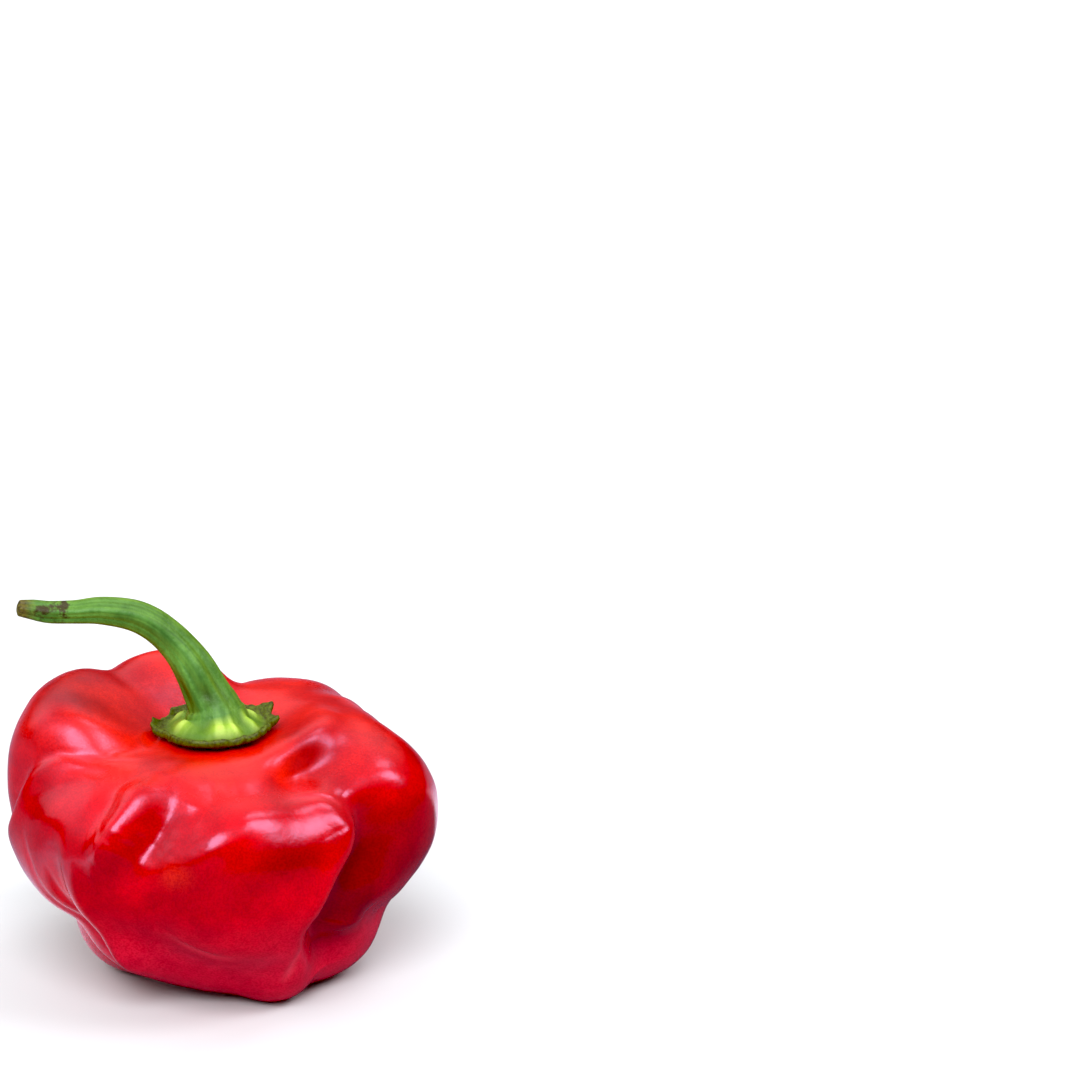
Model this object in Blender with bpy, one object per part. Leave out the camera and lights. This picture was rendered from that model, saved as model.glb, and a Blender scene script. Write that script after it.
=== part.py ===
"""Sweet bonnet pepper, a squat lobed red fruit with its green calyx and bent stem.

The fruit stands on the surface z = 0, on the low points of its lower lobes.
+X is to the right and -Y is towards a viewer who sees the stem bend to the left.
Lengths in this file are millimetres and angles are degrees. Meshes are made in metres.
"""

import math

import bmesh
import bpy
import numpy as np

METRES = 0.001

FRUIT_COLOUR = (0.62, 0.01, 0.012)
FRUIT_ROUGHNESS = 0.25
STEM_COLOUR = (0.10, 0.22, 0.03)
STEM_ROUGHNESS = 0.45

# The fruit is seen from this point inside it: its surface is one distance along each direction.
FRUIT_HEART = (0.0, 0.0, 18.0)
FRUIT_REACH = 40.0
LOBE_SHARPNESS = 0.75
LOBE_SQUARENESS = 2.4
FRUIT_CELLS = 30
# Steps inward from the reach until the skin is passed, then halvings of the last step.
SKIN_STEPS = 60
SKIN_HALVINGS = 14
# The skin's height over a place in the crown is found by halvings between these limits.
HEIGHT_LIMITS = (26.0, 34.0)
HEIGHT_HALVINGS = 11

# Each swelling of the fruit: azimuth of its middle, distance of the middle from the axis,
# height of the middle, and its half sizes outward, sideways and upward.
LOBES = {
    "core": (0, 0.0, 16.5, (15.5, 14.8, 11.9)),
    "front": (-56, 10.2, 17.9, (10.3, 15.9, 11.2)),
    "front_left_pleat": (-110, 11.7, 20.4, (7.9, 5.6, 8.1)),
    "left_pleat": (-130, 12.8, 20.1, (8.7, 6.0, 8.5)),
    "left_front": (-160, 12.6, 19.5, (11.4, 11.7, 8.9)),
    "left_back": (166, 16.1, 24.3, (8.4, 12.1, 11.2)),
    "back_left": (114, 14.8, 24.3, (8.8, 8.7, 10.5)),
    "back_right": (63, 15.3, 21.2, (11.7, 10.7, 8.8)),
    "right_back": (27, 12.9, 20.4, (8.3, 13.3, 9.9)),
    "right": (-9, 12.9, 20.4, (11.5, 8.1, 8.7)),
    "low_front": (-62, 8.5, 8.3, (7.4, 4.6, 7.9)),
    "low_front_middle": (-86, 7.0, 10.2, (6.2, 6.0, 7.2)),
    "low_front_left": (-116, 4.5, 10.4, (8.6, 8.9, 9.2)),
    "low_left_front": (-140, 10.3, 11.4, (8.4, 6.2, 7.2)),
    "low_left": (168, 9.2, 9.2, (8.6, 7.1, 9.2)),
    "low_back": (95, 9.0, 9.0, (10.0, 10.0, 9.0)),
    "low_right": (0, 8.3, 10.3, (9.6, 9.9, 10.4)),
    "low_right_front": (-24, 8.6, 9.8, (7.0, 4.6, 7.8)),
}

# Straight steps from each point of a fold's path to the next.
FOLD_SPANS = 6
# A lip's highest line, in half widths from the path.
LIP_PLACE = 1.5

# Each fold in the skin: its path as azimuth and elevation seen from the heart with its depth
# at each point, its half width on the left and on the right of the path, and how far the skin
# stands up beside it for its depth, on the left or, if negative, on the right.
FOLDS = {
    "front_right_groove": (
        [(-49, 29, 0.0), (-43, 25, 0.8), (-39, 20, 1.5), (-37, 15, 2.2), (-38, 9, 2.7), (-41, 3, 3.0),
         (-46, -3, 3.3), (-50, -9, 3.4), (-53, -15, 3.2), (-56, -21, 2.6), (-54, -28, 2.2),
         (-50, -34, 2.2), (-47, -43, 0.0)], (3.4, 2.0), -0.15),
    "front_crest": (
        [(-104, 26, 0.0), (-94, 29, 0.5), (-84, 31, 0.7), (-72, 31, 0.5), (-62, 30, 0.3),
         (-52, 28, 0.0)], (2.2, 1.8), -0.2),
    "left_knob_crest": (
        [(-132, 21, 0.0), (-132, 25, 0.3), (-133, 29, 0.4), (-131, 33, 0.5), (-125, 36, 0.5),
         (-118, 37, 0.3), (-112, 37, 0.0)], (2.0, 1.2), -0.3),
    "knob_valley": (
        [(-108, 37, 0.0), (-110, 32, 0.5), (-111, 25, 1.2), (-113, 19, 1.8), (-115, 15, 2.1),
         (-117, 12, 1.9), (-119, 9, 1.3), (-122, 6, 0.7), (-126, 4, 0.3), (-130, 4, 0.0)], (2.1, 3.0), 0),
    "knob_ridge": (
        [(-120, 34, 0.0), (-121, 29, -0.4), (-123, 23, -0.8), (-125, 18, -1.2), (-127, 13, -1.1),
         (-130, 8, -0.4), (-133, 4, 0.0)], (2.8, 1.6), 0),
    "front_ridge": (
        [(-104, 9, 0.0), (-100, 12, -0.4), (-94, 15, -0.4), (-87, 19, -0.2), (-80, 22, 0.0)], (2.2, 1.6), 0),
    "pleat_valley": (
        [(-101, 28, 0.0), (-102, 24, 0.4), (-103, 19, 0.6), (-104, 15, 0.5), (-105, 10, 0.0)],
        (2.0, 2.4), 0),
    "left_seam": (
        [(179, 3, 0.4), (-175, 8, 1.0), (-171, 13, 1.6), (-169, 20, 1.5), (-167, 25, 1.2),
         (-164, 29, 0.9), (-160, 33, 0.8), (-155, 37, 0.8), (-154, 43, 0.6), (-158, 50, 0.0)],
        (2.4, 1.5), -0.2),
    "back_left_seam": ([(141, 44, 0.4), (142, 48, 1.0), (141, 52, 0.8), (140, 57, 0.0)], (2.5, 2.0), 0),
    "back_groove": (
        [(84, 58, 0.0), (88, 44, 0.9), (91, 30, 1.6), (92, 14, 2.2), (90, 0, 2.3), (86, -16, 1.8),
         (82, -32, 1.6), (80, -50, 0.0)], (2.6, 2.2), 0.2),
    "back_left_groove": (
        [(139, 40, 0.0), (141, 28, 0.9), (140, 12, 1.4), (138, -4, 1.5), (136, -22, 1.2),
         (134, -42, 0.0)], (2.4, 2.8), 0),
    "back_right_groove": (
        [(44, 50, 0.0), (47, 36, 0.6), (49, 20, 1.0), (48, 4, 1.1), (45, -14, 0.8), (43, -30, 0.0)],
        (2.6, 2.6), 0),
    "right_dimple": ([(12, 34, 0.0), (11, 20, 0.5), (9, 4, 0.7), (8, -12, 0.5), (6, -26, 0.0)],
                     (2.6, 2.6), 0),
    "right_waist": ([(-12, -22, 0.0), (-22, -24, 0.9), (-34, -20, 1.0), (-46, -14, 0.0)], (2.2, 2.2), 0),
    "left_low_seam": (
        [(-147, 16, 0.0), (-145, 9, 0.6), (-144, 2, 0.9), (-143, -6, 1.1), (-143, -15, 1.2),
         (-142, -23, 1.2), (-141, -31, 1.2), (-140, -42, 0.0)], (1.6, 2.6), 0.3),
    "front_waist": ([(-62, -18, 0.4), (-74, -17, 0.4), (-88, -15, 0.3), (-104, -12, 0.0)], (2.5, 2.5), 0),
}

# Each hollow, or swelling if its depth is negative: azimuth, elevation, half width, half height, depth.
HOLLOWS = {
    "beside_calyx": (-45, 36, 5.4, 3.2, 2.6),
    "right_of_calyx": (-18, 54, 5.6, 3.4, -2.4),
    "front_shoulder": (-60, 25, 6.0, 4.6, 1.3),
    "left_shoulder": (-163, 37, 4.5, 3.5, -0.6),
    "left_of_calyx": (-175, 55, 4.4, 3.4, 1.6),
    "knob_foot": (-119, 11, 3.4, 3.6, -1.0),
    "over_the_pleat": (-99, 26, 3.6, 4.4, 0.6),
    "under_front_ridge": (-88, 14, 3.8, 4.6, 0.3),
    "knob_flank": (-131, 24, 2.4, 3.2, 0.65),
    "knob_top": (-120, 35, 3.0, 3.0, -0.5),
    "blossom_end": (0, -90, 4.5, 4.5, 1.6),
}

# The level dish in the top of the fruit that the calyx sits in.
CROWN_HEIGHT = 29.4
CROWN_RADIUS = 9.0
# The power by which the dish ends at its edge, and the lowest slope of a direction that it reaches.
CROWN_EDGE = 6
CROWN_SLOPE = 0.3

# The stem's centre line from the calyx to its cut end, and its radius at each point.
STEM_ROUTE = [
    ((-0.9, -0.1, 32.2), 3.45),
    ((-1.1, 0.0, 33.1), 3.0),
    ((-1.6, 0.1, 34.2), 2.75),
    ((-2.8, 0.4, 36.8), 2.45),
    ((-4.2, 0.8, 39.0), 2.1),
    ((-5.9, 1.0, 41.0), 1.9),
    ((-7.9, 1.0, 42.7), 1.8),
    ((-10.1, 0.8, 43.8), 1.7),
    ((-13.3, 0.3, 44.5), 1.5),
    ((-16.1, -0.2, 44.6), 1.27),
    ((-18.9, -0.6, 44.8), 1.2),
    ((-20.7, -0.8, 45.2), 1.08),
    ((-22.2, -1.0, 45.5), 0.85),
]
STEM_SIDES = 30
STEM_SPANS = 2
STEM_RIDGES = 5
STEM_RIDGE_HEIGHT = 0.10
# The cut end's rounding: the last ring's width as a share of the one before, its step outward and
# the bulge of the cut, as shares of the stem's last step.
TIP_WIDTH = 0.7
TIP_RISE = 0.4
TIP_CROWN = 0.1
CALYX_MIDDLE = (-0.8, -0.2)

# The calyx from the stem outward: radius, height over the fruit, and how far the rim's teeth reach it.
CALYX_TOP = [
    (3.85, 2.1, 0.0),
    (4.3, 1.8, 0.0),
    (4.8, 1.5, 0.0),
    (5.25, 1.15, 0.0),
    (5.6, 1.05, 0.2),
    (5.95, 1.25, 0.6),
    (6.25, 1.4, 0.9),
    (6.45, 1.3, 1.0),
]
CALYX_UNDERSIDE = [
    (6.55, 0.9, 1.0),
    (6.4, 0.6, 0.9),
    (6.0, 0.5, 0.5),
    (5.0, 0.35, 0.0),
    (3.4, 0.35, 0.0),
    (1.7, 0.35, 0.0),
]

# The teeth on the rim: azimuth, half width in degrees, how far each reaches out and curls up.
CALYX_TEETH = [
    (178, 13, 0.9, 0.1),
    (128, 18, 0.3, 0.3),
    (75, 16, 0.3, 0.4),
    (32, 12, 0.9, 0.8),
    (4, 10, 0.6, 0.0),
    (-48, 18, 0.3, 0.1),
    (-112, 18, 0.3, 0.1),
]


def unit(azimuth, elevation):
    """The direction with this azimuth round +Z and this elevation, as a unit vector."""
    a, e = math.radians(azimuth), math.radians(elevation)
    return np.array((math.cos(a) * math.cos(e), math.sin(a) * math.cos(e), math.sin(e)))


def lobe_distance(points, azimuth, reach, height, half_sizes):
    """About how far each point is outside a rounded lobe that stands across its own azimuth."""
    outward, sideways = unit(azimuth, 0), unit(azimuth + 90, 0)
    middle = reach * outward + (0, 0, height)
    axes = np.array((outward, sideways, (0, 0, 1)))
    local = np.abs((points - middle) @ axes.T) / half_sizes + 1e-9
    scaled = (local**LOBE_SQUARENESS).sum(axis=-1) ** (1 / LOBE_SQUARENESS)
    steepness = np.linalg.norm((local / scaled[..., None]) ** (LOBE_SQUARENESS - 1) / half_sizes, axis=-1)
    return (scaled - 1) / steepness


def lobes_distance(points):
    """About how far each point is outside the fruit, with its swellings blended."""
    total = sum(np.exp(-LOBE_SHARPNESS * lobe_distance(points, *lobe)) for lobe in LOBES.values())
    return -np.log(total) / LOBE_SHARPNESS


def fruit_points(directions):
    """Where rays from the heart in these directions leave the fruit."""
    heart = np.array(FRUIT_HEART)
    outside = np.full(len(directions), FRUIT_REACH)
    inside = np.zeros(len(directions))
    searching = np.ones(len(directions), bool)
    for reach in np.linspace(FRUIT_REACH, 0, SKIN_STEPS):
        solid = lobes_distance(heart + reach * directions) < 0
        inside[searching & solid] = reach
        searching &= ~solid
        outside[searching] = reach
    for _ in range(SKIN_HALVINGS):
        middle = (inside + outside) / 2
        solid = lobes_distance(heart + middle[:, None] * directions) < 0
        inside[solid] = middle[solid]
        outside[~solid] = middle[~solid]
    return heart + inside[:, None] * directions


def smooth_route(points, spans):
    """A smooth curve through these rows of numbers, with this many steps from each to the next."""
    rows = np.array(points, float)
    ends = np.vstack((2 * rows[0] - rows[1], rows, 2 * rows[-1] - rows[-2]))
    made = []
    for before, start, end, after in zip(ends, ends[1:], ends[2:], ends[3:]):
        for share in np.arange(spans) / spans:
            made.append((
                2 * start
                + (end - before) * share
                + (2 * before - 5 * start + 4 * end - after) * share**2
                + (3 * start - before - 3 * end + after) * share**3
            ) / 2)
    made.append(rows[-1])
    return np.array(made)


def fold_rise(directions, reach, points, widths, lip):
    """How far a fold moves the skin outward in each direction: a groove, and a lip beside it."""
    path = smooth_route([unit(*point[:2]) for point in points], FOLD_SPANS)
    path /= np.linalg.norm(path, axis=1)[:, None]
    depths = np.interp(np.arange(len(path)) / FOLD_SPANS, range(len(points)), [point[2] for point in points])
    nearest = np.full(len(directions), np.inf)
    depth = np.zeros(len(directions))
    side = np.zeros(len(directions))
    for start, end, first, last in zip(path, path[1:], depths, depths[1:]):
        run = end - start
        offset = directions - start
        share = np.clip(offset @ run / (run @ run), 0, 1)
        gap = offset - share[:, None] * run
        distance = np.linalg.norm(gap, axis=1)
        closer = distance < nearest
        nearest[closer] = distance[closer]
        depth[closer] = (first + (last - first) * share)[closer]
        side[closer] = np.sign(np.cross(run, gap[closer]) @ start)
    apart = nearest * reach / np.where(side > 0, *widths)
    groove = -np.exp(-(apart**2))
    beside = np.where(side * lip > 0, abs(lip) * np.exp(-((apart - LIP_PLACE) ** 2)), 0)
    return depth * (groove + beside)


def hollow_rise(directions, reach, azimuth, elevation, half_width, half_height, depth):
    """How far a round hollow moves the skin outward in each direction."""
    middle = unit(azimuth, elevation)
    sideways, upward = unit(azimuth + 90, 0), unit(azimuth, elevation + 90)
    across = directions @ sideways * reach / half_width
    up = directions @ upward * reach / half_height
    near = np.where(directions @ middle > 0, np.exp(-(across**2) - up**2), 0)
    return -depth * near


def crown_rise(directions, reach):
    """How far the dish under the calyx moves the skin outward in each direction."""
    level = (CROWN_HEIGHT - FRUIT_HEART[2]) / np.maximum(directions[:, 2], CROWN_SLOPE)
    off = np.linalg.norm(directions[:, :2] * level[:, None] - CALYX_MIDDLE, axis=1)
    near = np.where(directions[:, 2] > CROWN_SLOPE, np.exp(-((off / CROWN_RADIUS) ** CROWN_EDGE)), 0)
    return near * (level - reach)


def fruit_skin(directions):
    """The finished surface of the fruit along these directions from its heart."""
    heart = np.array(FRUIT_HEART)
    points = fruit_points(directions)
    reach = np.linalg.norm(points - heart, axis=1)
    rise = np.zeros(len(directions))
    for fold in FOLDS.values():
        rise += fold_rise(directions, reach, *fold)
    for hollow in HOLLOWS.values():
        rise += hollow_rise(directions, reach, *hollow)
    rise += crown_rise(directions, reach + rise)
    return points + rise[:, None] * directions


def ball_mesh(cells):
    """A cube of cells by cells squares a side, rounded to a ball of even faces, and its directions."""
    mesh = bmesh.new()
    bmesh.ops.create_cube(mesh, size=2)
    bmesh.ops.subdivide_edges(mesh, edges=mesh.edges, cuts=cells - 1, use_grid_fill=True)
    places = np.array([vertex.co for vertex in mesh.verts])
    places = np.tan(places * math.pi / 4)
    return mesh, places / np.linalg.norm(places, axis=1)[:, None]


def add_object(name, mesh, points, material):
    """Makes an object of this bmesh with its vertices at these points, given in millimetres."""
    for vertex, point in zip(mesh.verts, points * METRES):
        vertex.co = point
    bmesh.ops.recalc_face_normals(mesh, faces=mesh.faces)
    data = bpy.data.meshes.new(name)
    mesh.to_mesh(data)
    mesh.free()
    data.shade_smooth()
    data.materials.append(material)
    made = bpy.data.objects.new(name, data)
    bpy.context.scene.collection.objects.link(made)
    return made


def make_material(name, colour, roughness):
    """A plain Principled BSDF of this colour."""
    material = bpy.data.materials.new(name)
    material.use_nodes = True
    shader = material.node_tree.nodes["Principled BSDF"]
    shader.inputs["Base Color"].default_value = (*colour, 1)
    shader.inputs["Roughness"].default_value = roughness
    return material


def make_fruit():
    """The red fruit, one solid, with what would reach below z = 0 pressed flat against it."""
    mesh, directions = ball_mesh(FRUIT_CELLS)
    points = fruit_skin(directions)
    points[:, 2] = np.maximum(points[:, 2], 0)
    return add_object("fruit", mesh, points, make_material("fruit_skin", FRUIT_COLOUR, FRUIT_ROUGHNESS))


def skin_height(places):
    """The height of the fruit's upper surface over each x, y."""
    heart = np.array(FRUIT_HEART)
    low, high = (np.full(len(places), limit) for limit in HEIGHT_LIMITS)
    for _ in range(HEIGHT_HALVINGS):
        middle = (low + high) / 2
        ray = np.column_stack((places, middle)) - heart
        reach = np.linalg.norm(ray, axis=1)
        outside = reach > np.linalg.norm(fruit_skin(ray / reach[:, None]) - heart, axis=1)
        high[outside] = middle[outside]
        low[~outside] = middle[~outside]
    return (low + high) / 2


def calyx_ring(turn, radius, height, tooth_share):
    """One ring of the calyx: its points over the fruit's skin, with the rim's teeth."""
    reach = np.full(len(turn), float(radius))
    rise = np.full(len(turn), float(height))
    for azimuth, half_width, out, curl in CALYX_TEETH:
        off = (np.degrees(turn) - azimuth + 180) % 360 - 180
        near = tooth_share * np.exp(-((off / half_width) ** 2))
        reach += out * near
        rise += curl * near
    places = np.column_stack((np.cos(turn), np.sin(turn))) * reach[:, None] + CALYX_MIDDLE
    return np.column_stack((places, skin_height(places) + rise))


def stem_rings(turn):
    """The stem's rings from its cut end down to the calyx."""
    route = smooth_route([(*place, radius) for place, radius in STEM_ROUTE], STEM_SPANS)
    rings = []
    for step, row in enumerate(route):
        ahead, behind = route[min(step + 1, len(route) - 1)], route[max(step - 1, 0)]
        run = ahead[:3] - behind[:3]
        run /= np.linalg.norm(run)
        across = np.cross((0, 1, 0), run)
        across /= np.linalg.norm(across)
        beside = np.cross(run, across)
        radius = row[3] + STEM_RIDGE_HEIGHT * np.cos(STEM_RIDGES * turn)
        ring = np.outer(radius * np.cos(turn), across) + np.outer(radius * np.sin(turn), beside)
        rings.append(row[:3] + ring)
    return rings[::-1]


def tube_mesh(rings, sides):
    """A closed tube of this many rings, with a point at each end."""
    mesh = bmesh.new()
    rows = [[mesh.verts.new() for _ in range(sides)] for _ in range(rings)]
    first, last = mesh.verts.new(), mesh.verts.new()
    for row, after in zip(rows, rows[1:]):
        for side in range(sides):
            near = (side + 1) % sides
            mesh.faces.new((row[side], row[near], after[near], after[side]))
    for side in range(sides):
        near = (side + 1) % sides
        mesh.faces.new((first, rows[0][near], rows[0][side]))
        mesh.faces.new((last, rows[-1][side], rows[-1][near]))
    return mesh


def make_stem():
    """The green calyx and the stem that it ends, grown as one piece."""
    turn = np.arange(STEM_SIDES) * math.tau / STEM_SIDES
    rings = stem_rings(turn)
    tip_middle = rings[0].mean(axis=0)
    tip_run = tip_middle - rings[1].mean(axis=0)
    rounded = tip_middle + (rings[0] - tip_middle) * TIP_WIDTH + tip_run * TIP_RISE
    rings.insert(0, rounded)
    rings += [calyx_ring(turn, *row) for row in CALYX_TOP + CALYX_UNDERSIDE]
    ends = np.vstack((rounded.mean(axis=0) + tip_run * TIP_CROWN, rings[-1].mean(axis=0)))
    mesh = tube_mesh(len(rings), STEM_SIDES)
    points = np.vstack(rings + [ends])
    material = make_material("stem_green", STEM_COLOUR, STEM_ROUGHNESS)
    return add_object("stem_with_calyx", mesh, points, material)


def centre_over_origin(pieces):
    """Slides the pieces together until the middle of their common box is over x = y = 0."""
    corners = np.vstack([np.array([vertex.co for vertex in piece.data.vertices]) for piece in pieces])
    middle = (corners.min(axis=0) + corners.max(axis=0)) / 2
    for piece in pieces:
        for vertex in piece.data.vertices:
            vertex.co.x -= middle[0]
            vertex.co.y -= middle[1]


def main():
    for old in list(bpy.data.objects):
        bpy.data.objects.remove(old)
    centre_over_origin([make_fruit(), make_stem()])


main()
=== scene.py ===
"""Looks of a sweet bonnet pepper: a lobed, glossy red fruit with its green calyx and bent stem.

The shape is worked out in millimetres and degrees, by the same rules as the solids, and with
finer folds. Meshes, the camera and the lights are in metres.
+X is to the right and -Y is towards the camera.
"""

import math

import bmesh
import bpy
import numpy as np
from mathutils import Matrix, Vector, noise


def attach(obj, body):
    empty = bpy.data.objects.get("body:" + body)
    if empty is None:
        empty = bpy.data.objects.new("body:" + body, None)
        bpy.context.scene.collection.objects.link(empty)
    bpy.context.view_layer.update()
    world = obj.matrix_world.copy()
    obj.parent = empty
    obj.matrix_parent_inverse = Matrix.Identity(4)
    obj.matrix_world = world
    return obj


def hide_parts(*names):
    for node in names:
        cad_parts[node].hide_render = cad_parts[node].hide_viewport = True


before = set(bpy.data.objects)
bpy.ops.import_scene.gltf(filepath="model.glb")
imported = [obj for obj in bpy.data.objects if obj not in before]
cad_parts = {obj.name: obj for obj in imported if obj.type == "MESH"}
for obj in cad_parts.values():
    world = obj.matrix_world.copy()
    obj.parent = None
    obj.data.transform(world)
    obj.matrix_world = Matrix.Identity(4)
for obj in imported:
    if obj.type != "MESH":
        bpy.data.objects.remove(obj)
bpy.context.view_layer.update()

METRES = 0.001

# The fruit is seen from this point inside it: its surface is one distance along each direction.
FRUIT_HEART = (0.0, 0.0, 18.0)
FRUIT_REACH = 40.0
# How sharply the swellings meet, and how square each of them is.
LOBE_SHARPNESS = 0.75
LOBE_SQUARENESS = 2.4
# Squares along each edge of the cube that becomes the fruit's mesh.
FRUIT_CELLS = 126
# Steps inward from the reach until the skin is passed, then halvings of the last step.
SKIN_STEPS = 60
SKIN_HALVINGS = 14
# The skin's height over a place in the crown is found by halvings between these limits.
HEIGHT_LIMITS = (26.0, 34.0)
HEIGHT_HALVINGS = 10

# Each swelling of the fruit: azimuth of its middle, distance of the middle from the axis,
# height of the middle, and its half sizes outward, sideways and upward.
LOBES = {
    "core": (0, 0.0, 16.5, (15.5, 14.8, 11.9)),
    "front": (-56, 10.2, 17.9, (10.3, 15.9, 11.2)),
    "front_left_pleat": (-110, 11.7, 20.4, (7.9, 5.6, 8.1)),
    "left_pleat": (-130, 12.8, 20.1, (8.7, 6.0, 8.5)),
    "left_front": (-160, 12.6, 19.5, (11.4, 11.7, 8.9)),
    "left_back": (166, 16.1, 24.3, (8.4, 12.1, 11.2)),
    "back_left": (114, 14.8, 24.3, (8.8, 8.7, 10.5)),
    "back_right": (63, 15.3, 21.2, (11.7, 10.7, 8.8)),
    "right_back": (27, 12.9, 20.4, (8.3, 13.3, 9.9)),
    "right": (-9, 12.9, 20.4, (11.5, 8.1, 8.7)),
    "low_front": (-62, 8.5, 8.3, (7.4, 4.6, 7.9)),
    "low_front_middle": (-86, 7.0, 10.2, (6.2, 6.0, 7.2)),
    "low_front_left": (-116, 4.5, 10.4, (8.6, 8.9, 9.2)),
    "low_left_front": (-140, 10.3, 11.4, (8.4, 6.2, 7.2)),
    "low_left": (168, 9.2, 9.2, (8.6, 7.1, 9.2)),
    "low_back": (95, 9.0, 9.0, (10.0, 10.0, 9.0)),
    "low_right": (0, 8.3, 10.3, (9.6, 9.9, 10.4)),
    "low_right_front": (-24, 8.6, 9.8, (7.0, 4.6, 7.8)),
}

# Straight steps from each point of a fold's path to the next.
FOLD_SPANS = 6
# A lip's highest line, in half widths from the path.
LIP_PLACE = 1.5
# A fold is worked out this many half widths to each side, reckoned for skin this near the heart.
FOLD_MARGIN = 3.5
NEAR_SKIN = 15.0

# Each fold in the skin: its path as azimuth and elevation seen from the heart with its depth
# at each point, its half width on the left and on the right of the path, and how far the skin
# stands up beside it for its depth, on the left or, if negative, on the right.
FOLDS = {
    "front_right_groove": (
        [(-49, 29, 0.0), (-43, 25, 0.8), (-39, 20, 1.5), (-37, 15, 2.2), (-38, 9, 2.7), (-41, 3, 3.0),
         (-46, -3, 3.3), (-50, -9, 3.4), (-53, -15, 3.2), (-56, -21, 2.6), (-54, -28, 2.2),
         (-50, -34, 2.2), (-47, -43, 0.0)], (3.4, 2.0), -0.15),
    "front_crest": (
        [(-104, 26, 0.0), (-94, 29, 0.5), (-84, 31, 0.7), (-72, 31, 0.5), (-62, 30, 0.3),
         (-52, 28, 0.0)], (2.2, 1.8), -0.2),
    "left_knob_crest": (
        [(-132, 21, 0.0), (-132, 25, 0.3), (-133, 29, 0.4), (-131, 33, 0.5), (-125, 36, 0.5),
         (-118, 37, 0.3), (-112, 37, 0.0)], (2.0, 1.2), -0.3),
    "knob_valley": (
        [(-108, 37, 0.0), (-110, 32, 0.5), (-111, 25, 1.2), (-113, 19, 1.8), (-115, 15, 2.1),
         (-117, 12, 1.9), (-119, 9, 1.3), (-122, 6, 0.7), (-126, 4, 0.3), (-130, 4, 0.0)], (2.1, 3.0), 0),
    "knob_ridge": (
        [(-120, 34, 0.0), (-121, 29, -0.4), (-123, 23, -0.8), (-125, 18, -1.2), (-127, 13, -1.1),
         (-130, 8, -0.4), (-133, 4, 0.0)], (2.8, 1.6), 0),
    "front_ridge": (
        [(-104, 9, 0.0), (-100, 12, -0.4), (-94, 15, -0.4), (-87, 19, -0.2), (-80, 22, 0.0)], (2.2, 1.6), 0),
    "pleat_valley": (
        [(-101, 28, 0.0), (-102, 24, 0.4), (-103, 19, 0.6), (-104, 15, 0.5), (-105, 10, 0.0)],
        (2.0, 2.4), 0),
    "left_seam": (
        [(179, 3, 0.4), (-175, 8, 1.0), (-171, 13, 1.6), (-169, 20, 1.5), (-167, 25, 1.2),
         (-164, 29, 0.9), (-160, 33, 0.8), (-155, 37, 0.8), (-154, 43, 0.6), (-158, 50, 0.0)],
        (2.4, 1.5), -0.2),
    "back_left_seam": ([(141, 44, 0.4), (142, 48, 1.0), (141, 52, 0.8), (140, 57, 0.0)], (2.5, 2.0), 0),
    "back_groove": (
        [(84, 58, 0.0), (88, 44, 0.9), (91, 30, 1.6), (92, 14, 2.2), (90, 0, 2.3), (86, -16, 1.8),
         (82, -32, 1.6), (80, -50, 0.0)], (2.6, 2.2), 0.2),
    "back_left_groove": (
        [(139, 40, 0.0), (141, 28, 0.9), (140, 12, 1.4), (138, -4, 1.5), (136, -22, 1.2),
         (134, -42, 0.0)], (2.4, 2.8), 0),
    "back_right_groove": (
        [(44, 50, 0.0), (47, 36, 0.6), (49, 20, 1.0), (48, 4, 1.1), (45, -14, 0.8), (43, -30, 0.0)],
        (2.6, 2.6), 0),
    "right_dimple": ([(12, 34, 0.0), (11, 20, 0.5), (9, 4, 0.7), (8, -12, 0.5), (6, -26, 0.0)],
                     (2.6, 2.6), 0),
    "right_waist": ([(-12, -22, 0.0), (-22, -24, 0.9), (-34, -20, 1.0), (-46, -14, 0.0)], (2.2, 2.2), 0),
    "left_low_seam": (
        [(-147, 16, 0.0), (-145, 9, 0.6), (-144, 2, 0.9), (-143, -6, 1.1), (-143, -15, 1.2),
         (-142, -23, 1.2), (-141, -31, 1.2), (-140, -42, 0.0)], (1.6, 2.6), 0.3),
    "front_waist": ([(-62, -18, 0.4), (-74, -17, 0.4), (-88, -15, 0.3), (-104, -12, 0.0)], (2.5, 2.5), 0),
}

# Fine creases, given as the folds are.
CREASES = {
    "left_seam_wrinkle": (
        [(-161, 32, 0.0), (-157, 33, 0.25), (-153, 34, 0.25), (-149, 35, 0.0)], (0.35, 0.5), -0.6),
    "left_seam_second": (
        [(-156, 29, 0.0), (-151, 31, 0.15), (-146, 32, 0.15), (-141, 33, 0.0)], (0.4, 0.6), -0.6),
    "left_seam_long": (
        [(-168, 22, 0.0), (-163, 28, 0.2), (-156, 35, 0.25), (-147, 39, 0.2), (-136, 43, 0.0)],
        (0.4, 0.5), 0),
    "shoulder_crease": (
        [(-69, 28, 0.0), (-60, 28, 0.14), (-53, 27, 0.25), (-47, 25, 0.25), (-44, 20, 0.0)],
        (0.35, 0.45), 0),
    "left_low_crease": (
        [(-160, 10, 0.0), (-156, 2, 0.2), (-151, -8, 0.3), (-147, -18, 0.25), (-142, -28, 0.2),
         (-138, -36, 0.0)], (0.4, 0.6), 0),
    "left_low_second": (
        [(-149, 4, 0.0), (-146, -4, 0.15), (-143, -13, 0.2), (-139, -21, 0.0)], (0.35, 0.5), 0),
    "nose_crease": (
        [(-64, -24, 0.0), (-65, -30, 0.25), (-66, -36, 0.3), (-68, -42, 0.0)], (0.4, 0.5), 0),
    "front_low_crease": (
        [(-112, -16, 0.0), (-104, -21, 0.2), (-96, -24, 0.2), (-88, -25, 0.0)], (0.5, 0.7), 0),
}

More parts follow.
